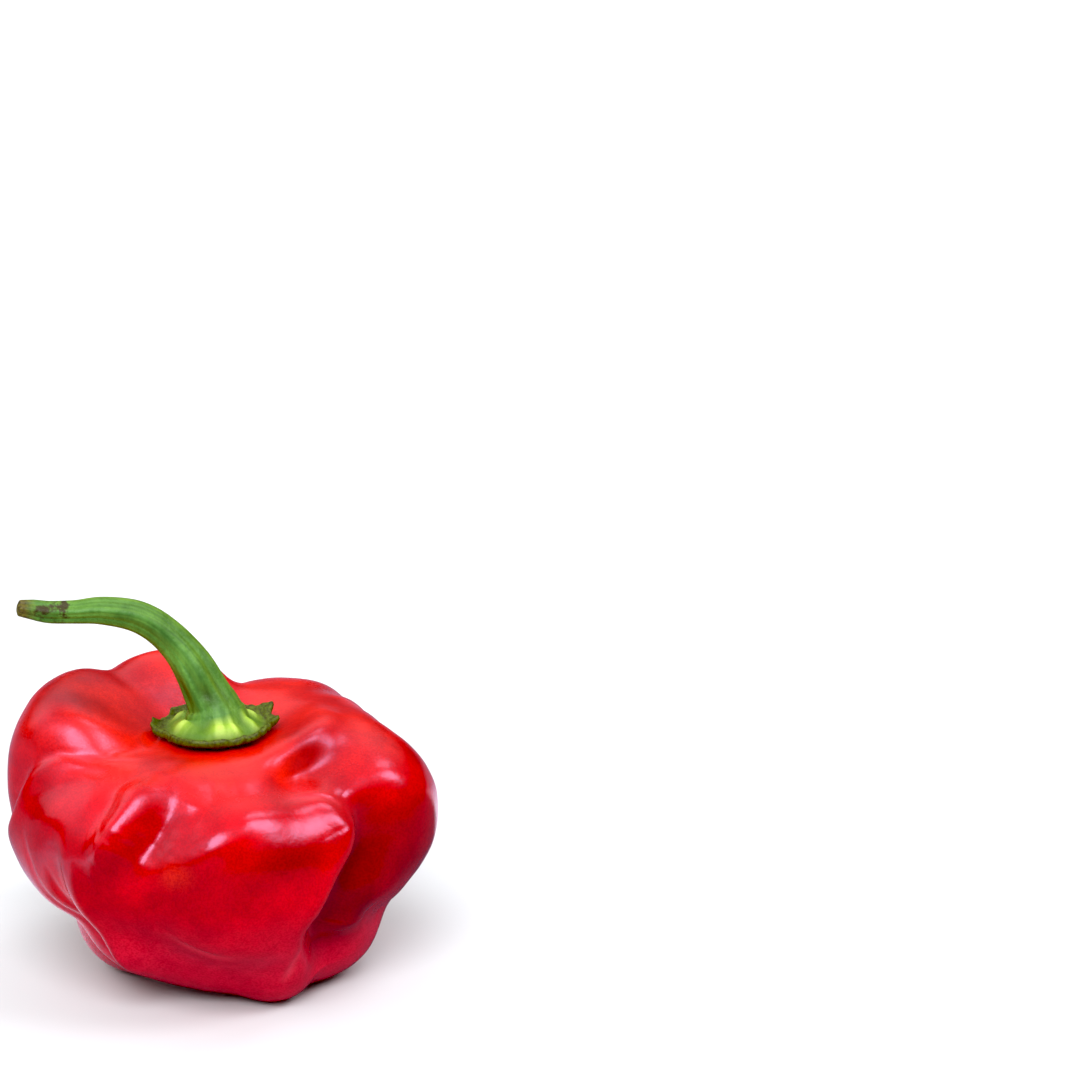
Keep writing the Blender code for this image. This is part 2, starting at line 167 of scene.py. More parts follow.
# Painted highlights as pale lines in the skin's colour, given as the folds are, with how pale they are in
# place of a depth.
HIGHLIGHT_LINES = {
    "front_edge": (
        [(-44, 24, 0.0), (-42, 18, 0.3), (-43, 11, 0.5), (-46, 4, 0.7), (-50, -2, 0.9), (-54, -8, 1.0),
         (-58, -14, 0.9), (-61, -20, 0.5), (-62, -26, 0.0)], (1.5, 0.9), 0),
    "left_low_haze": (
        [(-165, 8, 0.0), (-161, 0, 0.3), (-157, -10, 0.5), (-153, -20, 0.5), (-149, -30, 0.3),
         (-146, -40, 0.0)], (1.6, 1.6), 0),
}
# Painted highlight along the creases: how pale a crease is for each millimetre of its depth.
CREASE_HIGHLIGHT = 2

# Each hollow, or swelling if its depth is negative: azimuth, elevation, half width, half height, depth.
HOLLOWS = {
    "beside_calyx": (-45, 36, 5.4, 2.8, 3.2),
    "right_of_calyx": (-18, 54, 5.6, 3.4, -2.4),
    "front_shoulder": (-60, 25, 6.0, 4.6, 1.3),
    "left_shoulder": (-163, 37, 4.5, 3.5, -0.6),
    "left_of_calyx": (-175, 55, 4.4, 3.4, 1.6),
    "knob_foot": (-119, 11, 3.4, 3.6, -1.0),
    "over_the_pleat": (-99, 26, 3.6, 4.4, 0.6),
    "under_front_ridge": (-88, 14, 3.8, 4.6, 0.3),
    "knob_flank": (-131, 24, 2.4, 3.2, 0.65),
    "knob_top": (-120, 35, 3.0, 3.0, -0.5),
    "front_left_gleam": (-96, 19, 3.4, 3.0, -0.35),
    "blossom_end": (0, -90, 4.5, 4.5, 1.6),
}

# The level dish in the top of the fruit that the calyx sits in.
CROWN_HEIGHT = 29.4
CROWN_RADIUS = 9.0
# The power by which the dish ends at its edge, and the lowest slope of a direction that it reaches.
CROWN_EDGE = 6
CROWN_SLOPE = 0.3

# Gentle unevenness of the skin: the size of its waves and how far they move the surface.
SKIN_WAVES = [(7.0, 0.16), (2.6, 0.05), (1.1, 0.012)]
# Each layer of waves is taken this much further along, so that no two are alike.
WAVE_SHIFT = (13.7, 5.3, 9.1)

# The stem's centre line from the calyx to its cut end, and its radius at each point.
STEM_ROUTE = [
    ((-0.9, -0.1, 32.2), 3.45),
    ((-1.1, 0.0, 33.1), 3.0),
    ((-1.6, 0.1, 34.2), 2.75),
    ((-2.8, 0.4, 36.8), 2.45),
    ((-4.2, 0.8, 39.0), 2.1),
    ((-5.9, 1.0, 41.0), 1.9),
    ((-7.9, 1.0, 42.7), 1.8),
    ((-10.1, 0.8, 43.8), 1.7),
    ((-13.3, 0.3, 44.5), 1.5),
    ((-16.1, -0.2, 44.6), 1.27),
    ((-18.9, -0.6, 44.8), 1.2),
    ((-20.7, -0.8, 45.2), 1.08),
    ((-22.2, -1.0, 45.5), 0.85),
]
# Points round each ring of the stem, rings from one point of its route to the next, and the low
# ridges along it.
STEM_SIDES = 160
STEM_SPANS = 20
STEM_RIDGES = 5
STEM_RIDGE_HEIGHT = 0.10
# Fine fibres along the stem: their waves to a radian round it, their length in rings and their height.
FIBRE_COUNT = 4.5
FIBRE_LENGTH = 60
FIBRE_HEIGHT = 0.07
# Hollows in the stem, or ribs if their depth is negative: azimuth, height above the table, half width and
# half height, depth, and the painted shade that each puts on the skin.
STEM_MARKS = [
    (-86, 34.8, 0.75, 0.95, 0.40, 1.0),
    (-142, 35.2, 0.55, 2.2, 0.35, 0.8),
    (-116, 36.5, 0.60, 3.0, -0.25, 0.0),
    (-48, 35.4, 0.60, 2.4, 0.30, 0.7),
    (-66, 37.5, 0.55, 2.5, -0.15, 0.0),
    (10, 35.0, 0.60, 2.0, 0.30, 0.5),
    (60, 35.0, 0.60, 2.2, 0.30, 0.5),
    (115, 35.0, 0.60, 2.2, 0.30, 0.5),
    (165, 35.0, 0.60, 2.0, 0.30, 0.5),
]
# The fine grain of the stem's skin: how it is turned and how many lines of it to a metre each way.
STEM_GRAIN_TURN = (0.0, 0.6, 0.0)
STEM_GRAIN = (900.0, 900.0, 220.0)
# The stem's radius where the marks lie, which turns their angles into widths.
MARKED_RADIUS = 2.6
# The cut end's rounding: the width of each ring as a share of the last one, how far the rings
# reach outward and where the middle of the cut is, as shares of the run over half a span.
TIP_WIDTHS = (0.25, 0.5, 0.7, 0.85, 0.95)
TIP_RISE = 0.45
TIP_CROWN = 0.46
# The stem turns brown to the left of this x, within this distance.
TIP_BROWN_START = -20.2
TIP_BROWN_WIDTH = 1.4
# Brown flecks lie about this x, and this far to each side.
FLECKS_MIDDLE = -18.2
FLECKS_HALF_WIDTH = 2.4
# Light and dark streaks along the stem: their waves to a radian round it and their length in rings.
STREAK_COUNT = 7
STREAK_LENGTH = 45
CALYX_MIDDLE = (-0.8, -0.2)

# The calyx from the stem outward: radius, height over the fruit, and how far the rim's teeth reach it.
CALYX_TOP = [
    (3.85, 2.1, 0.0),
    (4.3, 1.8, 0.0),
    (4.8, 1.5, 0.0),
    (5.25, 1.15, 0.0),
    (5.6, 1.05, 0.2),
    (5.95, 1.25, 0.6),
    (6.25, 1.4, 0.9),
    (6.45, 1.3, 1.0),
]
CALYX_UNDERSIDE = [
    (6.55, 0.9, 1.0),
    (6.4, 0.6, 0.9),
    (6.0, 0.5, 0.5),
    (5.0, 0.35, 0.0),
    (3.4, 0.35, 0.0),
    (1.7, 0.35, 0.0),
]
CALYX_SPANS = 8
# The calyx bulges only where it is higher over the fruit than this.
CALYX_UPPER_SIDE = 0.3
# The rim's ragged edge: its waves to a radian round it, how far out they reach and how far up.
RAGGED_WAVES = 4.2
RAGGED_OUT = 0.45
RAGGED_CURL = 0.25
# Its finer fraying, given the same way, with a shift that keeps it unlike the ragged edge, and the
# height over the fruit above which the rim curls.
FRAYED_WAVES = 9.5
FRAYED_OUT = 0.30
FRAYED_CURL = 0.35
FRAYED_SHIFT = 3
FRAYED_ABOVE = 0.55
# The calyx turns to the rim's colour from this radius, within this distance.
RIM_START = 5.0
RIM_WIDTH = 0.9

# The teeth on the rim: azimuth, half width in degrees, how far each reaches out and curls up.
CALYX_TEETH = [
    (178, 13, 0.9, 0.1),
    (128, 18, 0.3, 0.3),
    (75, 16, 0.3, 0.4),
    (32, 12, 0.9, 0.8),
    (4, 10, 0.6, 0.0),
    (-48, 18, 0.3, 0.1),
    (-112, 18, 0.3, 0.1),
]

# The calyx's pale bulges between its ribs: azimuth, half width in degrees, radius, half radius, swell.
CALYX_BULGES = [
    (-150, 17, 4.4, 1.0, 0.6),
    (-84, 15, 4.4, 1.0, 0.65),
    (-62, 9, 4.5, 1.0, 0.55),
    (-26, 8, 4.4, 1.4, 0.6),
    (20, 12, 4.5, 1.0, 0.5),
    (58, 14, 4.5, 1.0, 0.5),
    (100, 16, 4.5, 1.0, 0.5),
    (155, 14, 4.5, 1.0, 0.5),
]

# Clouds to a metre in the skin's mottling, from the broadest to the finest.
SKIN_BROAD = 120.0
SKIN_BLOTCH = 420.0
SKIN_FINE = 1400.0
SKIN_GRAIN = 4200.0
# Clouds to a metre in the stem's.
STEM_BROAD = 300.0
STEM_FLECK = 600.0
STEM_FINE = 2500.0

# Colours of the skin on the flanks and at the crown, by how light the broad mottling is; the crown's are its
# orange-red tone made lighter with painted top light.
FLANK_REDS = [(0.38, (0.38, 0.0005, 0.0014)), (0.60, (0.54, 0.0012, 0.0018))]
CROWN_REDS_AND_TOP_LIGHT = [(0.38, (0.50, 0.005, 0.0035)), (0.60, (0.70, 0.015, 0.005))]
# A lighter pink painted low on the fruit for light bounced and mirrored from the floor.
FLOOR_BOUNCE_PINK = (0.58, 0.009, 0.028)
# The darker red of the painted shade in dents, grooves and shaded flanks.
SHADE_RED = (0.20, 0.0003, 0.0006)
ORANGE_RED = (0.60, 0.022, 0.004)
# An orange patch is this much stronger than the broad mottling under it.
ORANGE_LIFT = 0.2
# What the blotches and the fine specks leave of the skin's colour.
BLOTCH_SHADES = [(0.40, (0.88, 0.78, 0.82)), (0.60, (1.0, 1.0, 1.0))]
SPECK_SHADES = [(0.42, (0.80, 0.60, 0.60)), (0.56, (1.0, 1.0, 1.0))]
# The colour of the painted highlights along pale lines and creases, and the most of it that covers the skin.
HIGHLIGHT_PINK = (0.75, 0.09, 0.13)
HIGHLIGHT_SHARE = 0.45
# The scar's colour. It shows where its mask and this much of the fine mottling add up to the edge.
SCAR_BROWN = (0.16, 0.13, 0.09)
SCAR_FRAYING = 0.5
SCAR_EDGE = 0.85
# Roughness of the skin at its glossiest, and how much the crown and the fine mottling add.
SKIN_ROUGHNESS = 0.14
CROWN_ROUGHNESS = 0.10
FINE_ROUGHNESS = 0.14

# Colours of the stem by how light its broad mottling is, and the lighter green of a painted sheen at edges
# seen from the side.
STEM_GREENS = [(0.35, (0.045, 0.140, 0.018)), (0.65, (0.085, 0.225, 0.030))]
SHEEN_EDGE_GREEN = (0.15, 0.24, 0.010)
# What the streaks and the grain leave of the stem's colour.
STREAK_SHADES = [(0.25, (0.82, 0.86, 0.80)), (0.55, (1.0, 1.0, 1.0)), (0.85, (1.15, 1.10, 1.05))]
GRAIN_SHADES = [(0.40, (0.80, 0.84, 0.80)), (0.58, (1.06, 1.04, 1.1))]
# The calyx's own green and its share, the bulges' lime, and the green of the painted shade in the stem's
# hollows and its share.
CALYX_GREEN = (0.07, 0.14, 0.008)
CALYX_SHARE = 0.5
BULGE_LIMES = [(0.30, (0.26, 0.42, 0.03)), (0.70, (0.40, 0.56, 0.08))]
HOLLOW_SHADE_GREEN = (0.025, 0.05, 0.004)
HOLLOW_SHADE_SHARE = 0.75
RIM_OLIVES = [(0.36, (0.035, 0.034, 0.001)), (0.60, (0.085, 0.115, 0.004))]
# The flecks' colour, what their middle adds to the clouds they come from, and where those show them.
FLECK_BROWN = (0.035, 0.028, 0.004)
FLECK_LIFT = 0.26
FLECK_EDGE = [(0.70, (0, 0, 0)), (0.80, (1, 1, 1))]
TIP_BROWNS = [(0.35, (0.03, 0.02, 0.004)), (0.65, (0.14, 0.12, 0.012))]
STEM_ROUGHNESS = 0.36
STEM_FINE_ROUGHNESS = 0.2

# How far the fine relief of the skin and the stem is taken to reach.
BUMP_DISTANCE = 0.0002

# Orange-red patches of the skin: azimuth, elevation, half width, half height, in degrees.
ORANGE_PATCHES = [
    (-105, 6, 5, 4),
    (-98, 43, 16, 6),
]
# Patches of painted shade in a darker red, given the same way, and how strong each is.
SHADE_PATCHES = [
    (-34, 43, 15, 10, 0.7),
    (-178, 45, 12, 7, 0.7),
    (-70, 9, 15, 7, 0.85),
    (-122, 11, 6, 5, 0.6),
    (-22, -4, 18, 16, 0.8),
    (-42, -18, 10, 12, 0.9),
]
# Painted shade in the front groove: how much darker the skin's colour is painted for each millimetre down in
# it.
GROOVE_SHADE = 0.25
# The skin's colour turns to that of the crown, its orange-red tone with painted top light, between these
# elevations.
CROWN_COLOUR = (23, 37)
# Lower down it turns to the painted pink of light bounced and mirrored from the floor between these.
FLOOR_BOUNCE_ELEVATIONS = (-6, -30)
# A small scar on the left side, given as the patches are.
SCAR = (-176, 2, 1.6, 2.6)

# The studio's round soft lights, far away: azimuth, elevation, width across in degrees,
# brightness and colour.
LIGHTS = [
    ("front_softbox", -98, 47, 33, 13.0, (0.94, 0.92, 1.0)),
    ("left_softbox", -142, 46, 20, 1.2, (0.94, 0.92, 1.0)),
    ("right_softbox", -22, 46, 22, 12.0, (0.94, 0.92, 1.0)),
    ("high_right_softbox", 20, 62, 18, 6.0, (0.94, 0.92, 1.0)),
    ("left_panel", -158, 18, 40, 0.5, (0.94, 0.92, 1.0)),
    ("back_left_softbox", 155, 40, 44, 0.8, (0.97, 0.98, 1.0)),
]
# The dome over the table: brightness by height above the horizon, from 0 to straight up at 1.
DOME_LEVELS = [(0.0, 0.01), (0.26, 0.04), (0.42, 0.40), (0.60, 1.1), (0.75, 1.2), (0.9, 1.1), (1.0, 1.0)]
DOME_TINT = np.array((0.97, 0.98, 1.0))
# How much of that is left towards the sides, from the far left at -1 to the far right at 1.
DOME_SIDES = [(-1.0, 1.0), (0.2, 1.0), (0.7, 0.35), (1.0, 0.3)]
FLOOR_HALF = 4.0
FLOOR_WHITE = (0.61, 0.635, 0.62)
# The floor's colour in mirror images, by how far back and to the left it lies: the shares of x and
# y in that distance, the whole span of it over which the colours are set, and the colours.
FLOOR_BACKWARD = (-0.6, 1.0)
FLOOR_SPAN = 0.4
FLOOR_IN_REFLECTIONS = [
    (-0.03, (0.14, 0.09, 0.14)),
    (0.000, (0.12, 0.07, 0.12)),
    (0.015, (1.00, 0.88, 1.00)),
    (0.035, (0.60, 0.50, 0.65)),
    (0.055, (0.25, 0.19, 0.26)),
]
# The view shows what is darker than this as black.
BLACK_LEVEL = 0.012

# The camera looks from this elevation and distance at a point in the fruit, which falls on this
# pixel of a frame of 1080 x 1080.
CAMERA_ELEVATION = 21.0
CAMERA_DISTANCE = 0.350
CAMERA_LENS = 100.0
SENSOR_WIDTH = 36.0
FRAME_PIXELS = 1080
TARGET_HEIGHT = 0.020
TARGET_PIXEL = (225.0, 810.0)
# Steps in which the camera is turned to its aim.
AIM_STEPS = 60


def unit(azimuth, elevation):
    """The direction with this azimuth round +Z and this elevation, as a unit vector."""
    a, e = math.radians(azimuth), math.radians(elevation)
    return np.array((math.cos(a) * math.cos(e), math.sin(a) * math.cos(e), math.sin(e)))


def lobe_distance(points, azimuth, reach, height, half_sizes):
    """About how far each point is outside a rounded lobe that stands across its own azimuth."""
    outward, sideways = unit(azimuth, 0), unit(azimuth + 90, 0)
    middle = reach * outward + (0, 0, height)
    axes = np.array((outward, sideways, (0, 0, 1)))
    local = np.abs((points - middle) @ axes.T) / half_sizes + 1e-9
    scaled = (local**LOBE_SQUARENESS).sum(axis=-1) ** (1 / LOBE_SQUARENESS)
    steepness = np.linalg.norm((local / scaled[..., None]) ** (LOBE_SQUARENESS - 1) / half_sizes, axis=-1)
    return (scaled - 1) / steepness


def lobes_distance(points):
    """About how far each point is outside the fruit, with its swellings blended."""
    total = sum(np.exp(-LOBE_SHARPNESS * lobe_distance(points, *lobe)) for lobe in LOBES.values())
    return -np.log(total) / LOBE_SHARPNESS


def fruit_points(directions):
    """Where rays from the heart in these directions leave the fruit."""
    heart = np.array(FRUIT_HEART)
    outside = np.full(len(directions), FRUIT_REACH)
    inside = np.zeros(len(directions))
    searching = np.ones(len(directions), bool)
    for reach in np.linspace(FRUIT_REACH, 0, SKIN_STEPS):
        if not searching.any():
            break
        rays = directions[searching]
        solid = lobes_distance(heart + reach * rays) < 0
        found = np.flatnonzero(searching)[solid]
        inside[found] = reach
        searching[found] = False
        outside[searching] = reach
    for _ in range(SKIN_HALVINGS):
        middle = (inside + outside) / 2
        solid = lobes_distance(heart + middle[:, None] * directions) < 0
        inside[solid] = middle[solid]
        outside[~solid] = middle[~solid]
    return heart + inside[:, None] * directions


def smooth_route(points, spans):
    """A smooth curve through these rows of numbers, with this many steps from each to the next."""
    rows = np.array(points, float)
    ends = np.vstack((2 * rows[0] - rows[1], rows, 2 * rows[-1] - rows[-2]))
    made = []
    for before, start, end, after in zip(ends, ends[1:], ends[2:], ends[3:]):
        for share in np.arange(spans) / spans:
            made.append((
                2 * start
                + (end - before) * share
                + (2 * before - 5 * start + 4 * end - after) * share**2
                + (3 * start - before - 3 * end + after) * share**3
            ) / 2)
    made.append(rows[-1])
    return np.array(made)


def fold_rise(directions, reach, points, widths, lip):
    """How far a fold moves the skin outward in each direction: a groove, and a lip beside it."""
    path = smooth_route([unit(*point[:2]) for point in points], FOLD_SPANS)
    path /= np.linalg.norm(path, axis=1)[:, None]
    depths = np.interp(np.arange(len(path)) / FOLD_SPANS, range(len(points)), [point[2] for point in points])
    rise = np.zeros(len(directions))
    middle = path.mean(axis=0)
    middle /= np.linalg.norm(middle)
    margin = FOLD_MARGIN * max(widths) / NEAR_SKIN
    spread = np.linalg.norm(path - middle, axis=1).max() + margin
    close = np.flatnonzero(np.linalg.norm(directions - middle, axis=1) < spread)
    if not len(close):
        return rise
    places = directions[close]
    nearest = np.full(len(close), np.inf)
    depth = np.zeros(len(close))
    side = np.zeros(len(close))
    for start, end, first, last in zip(path, path[1:], depths, depths[1:]):
        run = end - start
        offset = places - start
        share = np.clip(offset @ run / (run @ run), 0, 1)
        gap = offset - share[:, None] * run
        distance = np.linalg.norm(gap, axis=1)
        closer = distance < nearest
        nearest[closer] = distance[closer]
        depth[closer] = (first + (last - first) * share)[closer]
        side[closer] = np.sign(np.cross(run, gap[closer]) @ start)
    apart = nearest * reach[close] / np.where(side > 0, *widths)
    groove = -np.exp(-(apart**2))
    beside = np.where(side * lip > 0, abs(lip) * np.exp(-((apart - LIP_PLACE) ** 2)), 0)
    rise[close] = depth * (groove + beside)
    return rise


def hollow_rise(directions, reach, azimuth, elevation, half_width, half_height, depth):
    """How far a round hollow moves the skin outward in each direction."""
    middle = unit(azimuth, elevation)
    sideways, upward = unit(azimuth + 90, 0), unit(azimuth, elevation + 90)
    across = directions @ sideways * reach / half_width
    up = directions @ upward * reach / half_height
    near = np.where(directions @ middle > 0, np.exp(-(across**2) - up**2), 0)
    return -depth * near


def crown_rise(directions, reach):
    """How far the dish under the calyx moves the skin outward in each direction."""
    level = (CROWN_HEIGHT - FRUIT_HEART[2]) / np.maximum(directions[:, 2], CROWN_SLOPE)
    off = np.linalg.norm(directions[:, :2] * level[:, None] - CALYX_MIDDLE, axis=1)
    near = np.where(directions[:, 2] > CROWN_SLOPE, np.exp(-((off / CROWN_RADIUS) ** CROWN_EDGE)), 0)
    return near * (level - reach)


def fruit_skin(directions):
    """The surface of the fruit along these directions from its heart."""
    heart = np.array(FRUIT_HEART)
    points = fruit_points(directions)
    reach = np.linalg.norm(points - heart, axis=1)
    rise = np.zeros(len(directions))
    for fold in FOLDS.values():
        rise += fold_rise(directions, reach, *fold)
    for hollow in HOLLOWS.values():
        rise += hollow_rise(directions, reach, *hollow)
    rise += crown_rise(directions, reach + rise)
    return points + rise[:, None] * directions


def skin_height(places):
    """The height of the fruit's upper surface over each x, y."""
    heart = np.array(FRUIT_HEART)
    low, high = (np.full(len(places), limit) for limit in HEIGHT_LIMITS)
    for _ in range(HEIGHT_HALVINGS):
        middle = (low + high) / 2
        ray = np.column_stack((places, middle)) - heart
        reach = np.linalg.norm(ray, axis=1)
        outside = reach > np.linalg.norm(fruit_skin(ray / reach[:, None]) - heart, axis=1)
        high[outside] = middle[outside]
        low[~outside] = middle[~outside]
    return (low + high) / 2


def wave(points, size, layer):
    """A smooth uneven value from about -1 to 1 at each point, with waves of this size."""
    shift = Vector([layer * step for step in WAVE_SHIFT])
    return np.array([noise.noise(Vector(point) / size + shift) for point in points])


def wave_round(turn, count, level):
    """A smooth uneven value at each angle of a ring, with this many waves to a radian, at a level."""
    return np.array([noise.noise(Vector((count * math.cos(a), count * math.sin(a), level))) for a in turn])


def near_spot(values, middle, half_size):
    """1 at the middle of a soft spot, falling to 0 on both sides of it."""
    return np.exp(-(((values - middle) / half_size) ** 2))


def angle_off(angles, middle):
    """How far each angle is from the middle, from -180 to 180 degrees."""
    return (angles - middle + 180) % 360 - 180


def add_piece(name, mesh, points, masks, material, node):
    """Makes a piece from this bmesh, its vertices at these points in millimetres, in a node's place."""
    bmesh.ops.recalc_face_normals(mesh, faces=mesh.faces)
    data = bpy.data.meshes.new(name)
    mesh.to_mesh(data)
    mesh.free()
    data.vertices.foreach_set("co", (points * METRES).astype(np.float32).ravel())
    for mask, values in masks.items():
        attribute = data.attributes.new(mask, "FLOAT", "POINT")
        attribute.data.foreach_set("value", np.clip(values, 0, 1).astype(np.float32))
    data.update()
    data.shade_smooth()
    data.materials.append(material)
    piece = bpy.data.objects.new(name, data)
    bpy.context.scene.collection.objects.link(piece)
    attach(piece, "root")
    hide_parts(node)


def ball_mesh(cells):
    """A cube of cells by cells squares a side, rounded to a ball of even faces, and its directions."""
    mesh = bmesh.new()
    bmesh.ops.create_cube(mesh, size=2)
    bmesh.ops.subdivide_edges(mesh, edges=mesh.edges, cuts=cells - 1, use_grid_fill=True)
    places = np.array([vertex.co for vertex in mesh.verts])
    places = np.tan(places * math.pi / 4)
    directions = places / np.linalg.norm(places, axis=1)[:, None]
    for vertex, direction in zip(mesh.verts, directions):
        vertex.co = direction
    return mesh, directions


def tube_mesh(rings, sides):
    """A closed tube of this many rings, with a point at each end, which are put in place later."""
    mesh = bmesh.new()
    angles = [math.tau * side / sides for side in range(sides)]
    rows = [[mesh.verts.new((math.cos(a), math.sin(a), -ring)) for a in angles] for ring in range(rings)]
    first, last = mesh.verts.new((0, 0, 1)), mesh.verts.new((0, 0, -rings))
    for row, after in zip(rows, rows[1:]):
        for side in range(sides):
            beside = (side + 1) % sides
            mesh.faces.new((row[side], row[beside], after[beside], after[side]))
    for side in range(sides):
        beside = (side + 1) % sides
        mesh.faces.new((first, rows[0][beside], rows[0][side]))
        mesh.faces.new((last, rows[-1][side], rows[-1][beside]))
    return mesh


def fruit_shape():
    """The fruit's mesh, its points and the masks of its skin."""
    mesh, directions = ball_mesh(FRUIT_CELLS)
    points = fruit_skin(directions)
    reach = np.linalg.norm(points - np.array(FRUIT_HEART), axis=1)
    creases = sum(fold_rise(directions, reach, *crease) for crease in CREASES.values())
    rise = creases.copy()
    for layer, (size, height) in enumerate(SKIN_WAVES):
        rise += height * wave(points, size, layer)
    points += rise[:, None] * directions
    points[:, 2] = np.maximum(points[:, 2], 0)
    azimuth = np.degrees(np.arctan2(directions[:, 1], directions[:, 0]))
    elevation = np.degrees(np.arcsin(directions[:, 2]))

    def patch(middle, height, wide, tall):
        """1 in the middle of a soft patch of the skin, falling to 0 round it."""
        return near_spot(angle_off(azimuth, middle), 0, wide) * near_spot(elevation, height, tall)

    # Painted shade: patches darkened where the skin falls in shade, and the front groove darkened by its
    # depth.
    deep = sum(strength * patch(*place) for *place, strength in SHADE_PATCHES)
    # Pale lines of painted highlight; with the creases they make the painted highlight mask.
    lines = sum(fold_rise(directions, reach, *line) for line in HIGHLIGHT_LINES.values())
    masks = {
        "orange": sum(patch(*place) for place in ORANGE_PATCHES),
        "deep": deep - GROOVE_SHADE * fold_rise(directions, reach, *FOLDS["front_right_groove"]),
        "scar": patch(*SCAR),
        "crown": np.interp(elevation, CROWN_COLOUR, (0, 1)),
        "foot": np.interp(elevation, FLOOR_BOUNCE_ELEVATIONS[::-1], (1, 0)),
        "pale": -CREASE_HIGHLIGHT * creases - lines,
    }
    return mesh, points, masks


def stem_points(turn):
    """The stem's rings from its cut end down to the calyx."""
    route = smooth_route([(*place, radius) for place, radius in STEM_ROUTE], STEM_SPANS)
    rings = []
    for step, row in enumerate(route):
        ahead, behind = route[min(step + 1, len(route) - 1)], route[max(step - 1, 0)]
        run = ahead[:3] - behind[:3]
        run /= np.linalg.norm(run)
        across = np.cross((0, 1, 0), run)
        across /= np.linalg.norm(across)
        beside = np.cross(run, across)
        radius = row[3] + STEM_RIDGE_HEIGHT * np.cos(STEM_RIDGES * turn)
        radius += FIBRE_HEIGHT * wave_round(turn, FIBRE_COUNT, step / FIBRE_LENGTH)
        for azimuth, level, wide, tall, depth, _ in STEM_MARKS:
            off = np.radians(angle_off(np.degrees(turn), azimuth)) * row[3]
            radius -= depth * near_spot(row[2], level, tall) * near_spot(off, 0, wide)
        ring = np.outer(radius * np.cos(turn), across) + np.outer(radius * np.sin(turn), beside)
        rings.append(row[:3] + ring)
    return rings[::-1]


def calyx_points(turn):
    """The calyx's rings from the stem out over the fruit, round its rim and back underneath."""
    rows = np.vstack((
        smooth_route(CALYX_TOP, CALYX_SPANS),
        smooth_route(CALYX_UNDERSIDE, CALYX_SPANS // 2),
    ))
    radius, height, tooth_share = rows.T
    reach = np.repeat(radius[:, None], len(turn), axis=1)
    rise = np.repeat(height[:, None], len(turn), axis=1)
    degrees = np.degrees(turn)
    for azimuth, half_width, out, curl in CALYX_TEETH:
        near = np.outer(tooth_share, near_spot(angle_off(degrees, azimuth), 0, half_width))
        reach += out * near
        rise += curl * near
    for azimuth, half_width, out, half_out, swell in CALYX_BULGES:
        above = near_spot(radius, out, half_out) * (height > CALYX_UPPER_SIDE)
        rise += swell * np.outer(above, near_spot(angle_off(degrees, azimuth), 0, half_width))
    ragged = np.array([wave_round(turn, RAGGED_WAVES, share) for share in tooth_share])
    frayed = np.array([wave_round(turn, FRAYED_WAVES, FRAYED_SHIFT + share) for share in tooth_share])
    out = RAGGED_OUT * ragged + FRAYED_OUT * frayed
    curl = RAGGED_CURL * ragged + FRAYED_CURL * np.abs(frayed)
    reach += out * tooth_share[:, None]
    rise += curl * tooth_share[:, None] * (height[:, None] > FRAYED_ABOVE)
    places = np.stack((np.cos(turn) * reach, np.sin(turn) * reach), axis=-1) + CALYX_MIDDLE
    level = skin_height(places.reshape(-1, 2)).reshape(reach.shape)
    return list(np.dstack((places, level + rise)))


def stem_shape():
    """The mesh of the stem and calyx, its points and the masks of its skin."""
    turn = np.arange(STEM_SIDES) * math.tau / STEM_SIDES
    rings = stem_points(turn)
    cut = rings[0]
    cut_middle = cut.mean(axis=0)
    tip_run = cut_middle - rings[STEM_SPANS // 2].mean(axis=0)
    rounding = []
    for share in TIP_WIDTHS:
        out = math.sqrt(1 - share**2)
        rounding.append(cut_middle + (cut - cut_middle) * share + tip_run * TIP_RISE * out)
    rings = rounding + rings
    stem_count = len(rings)
    rings += calyx_points(turn)
    ends = np.vstack((cut_middle + tip_run * TIP_CROWN, rings[-1].mean(axis=0)))
    points = np.vstack(rings + [ends])
    mesh = tube_mesh(len(rings), STEM_SIDES)

    x, y, z = points[:-2].T
    off = np.linalg.norm(np.column_stack((x, y)) - CALYX_MIDDLE, axis=1)
    azimuth = np.tile(np.degrees(turn), len(rings))
    on_calyx = (np.repeat(np.arange(len(rings)), STEM_SIDES) >= stem_count).astype(float)
    on_stem = 1 - on_calyx
    lime = np.zeros(len(x))
    for middle, half_width, out, half_out, _ in CALYX_BULGES:
        round_axis = near_spot(off, out, half_out)
        lime += on_calyx * round_axis * near_spot(angle_off(azimuth, middle), 0, half_width)
    # Painted shade in the stem's hollows.
    mark = np.zeros(len(x))
    for middle, level, wide, tall, _, shade in STEM_MARKS:
        across = np.radians(angle_off(azimuth, middle)) * MARKED_RADIUS
        mark += shade * on_stem * near_spot(across, 0, wide) * near_spot(z, level, tall)
    streaks = [wave_round(turn, STREAK_COUNT, ring / STREAK_LENGTH) for ring in range(len(rings))]
    masks = {
        "lime": lime,
        "rim": on_calyx * np.clip((off - RIM_START) / RIM_WIDTH, 0, 1),
        "tip": np.clip((TIP_BROWN_START - x) / TIP_BROWN_WIDTH, 0, 1),
        "mark": mark,
        "spots": near_spot(x, FLECKS_MIDDLE, FLECKS_HALF_WIDTH) * on_stem,
        "calyx": on_calyx,
        "streaks": 0.5 + np.concatenate(streaks),
    }
    return mesh, points, {name: np.append(values, (values[0], values[-1])) for name, values in masks.items()}


